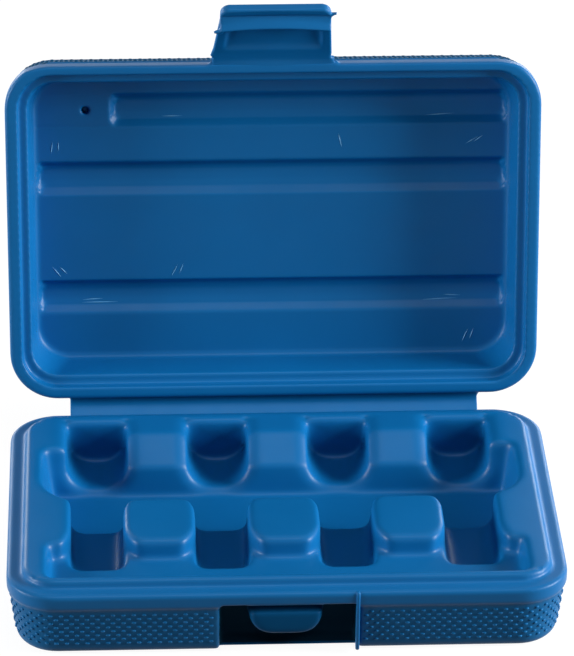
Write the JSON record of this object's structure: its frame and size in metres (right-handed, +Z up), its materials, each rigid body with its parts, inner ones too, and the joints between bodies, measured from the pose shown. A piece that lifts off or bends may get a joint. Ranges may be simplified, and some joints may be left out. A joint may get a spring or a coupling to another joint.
{
  "type": "moulded tool case",
  "caption": "Flat double-walled plastic tool case with a hinged lid on a folding strip, a hook latch and a tray of pockets for long bits.",
  "frame": {"origin": "middle of the base's flat underside", "axes": "+X along the case's width, -Y out of the latch side, +Z up out of the tray"},
  "size_m": [0.175, 0.1605, 0.1628],
  "materials": {
    "base_shell": "satin, textured walls",
    "base_tray": "satin",
    "catch_nub": "satin",
    "hinge_strip": "satin",
    "lid_shell": "satin, textured walls",
    "lid_liner": "satin",
    "latch_tab": "satin"
  },
  "bodies": {
    "base": {"base_shell": "base_shell", "base_tray": "base_tray", "catch_nub": "catch_nub"},
    "strip": {"hinge_strip": "hinge_strip"},
    "lid": {"lid_shell": "lid_shell", "lid_liner": "lid_liner"},
    "latch": {"latch_tab": "latch_tab"}
  },
  "joints": [
    {"name": "strip_fold", "type": "hinge", "parent": "base", "child": "strip", "pos_m": [0, 0.05825, 0.01785], "axis": [1, 0, 0], "range_deg": [-40, 50]},
    {"name": "lid_fold", "type": "hinge", "parent": "strip", "child": "lid", "pos_m": [0, 0.06637, 0.02466], "axis": [1, 0, 0], "range_deg": [-40, 50]},
    {"name": "latch_fold", "type": "hinge", "parent": "lid", "child": "latch", "pos_m": [0, 0.08226, 0.14041], "axis": [1, 0, 0], "range_deg": [-32, 58]}
  ],
  "couplings": [
    {"joint": "lid_fold", "follows": "strip_fold", "ratio": 1}
  ]
}
